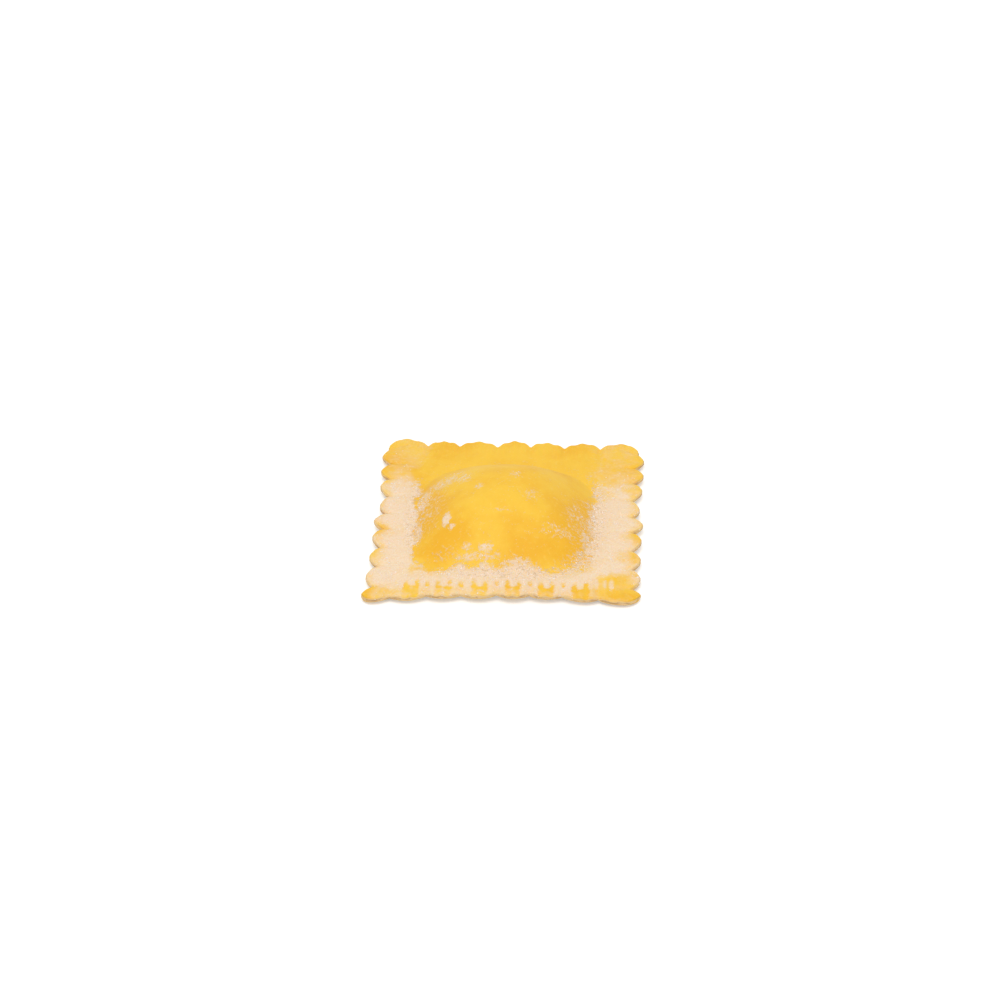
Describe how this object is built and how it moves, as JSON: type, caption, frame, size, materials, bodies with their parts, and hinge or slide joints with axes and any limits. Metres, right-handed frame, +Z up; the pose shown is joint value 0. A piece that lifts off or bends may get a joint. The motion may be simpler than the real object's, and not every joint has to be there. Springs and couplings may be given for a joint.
{
  "type": "ravioli",
  "caption": "Whole square filled pasta with a domed middle, a flat pressed rim and a fluted cut edge, lightly dusted with flour.",
  "frame": {"origin": "on the resting surface, under the middle of the box that bounds the raviolo", "axes": "+Z up, through the crown of the dome; front edge towards -Y; +X to the right seen from the front"},
  "size_m": [0.056, 0.058, 0.0114],
  "materials": {
    "pasta": "matt fresh egg dough, slightly translucent",
    "flour": "dry loose flour, fully matt"
  },
  "bodies": {
    "root": {"raviolo": "pasta"}
  },
  "joints": []
}
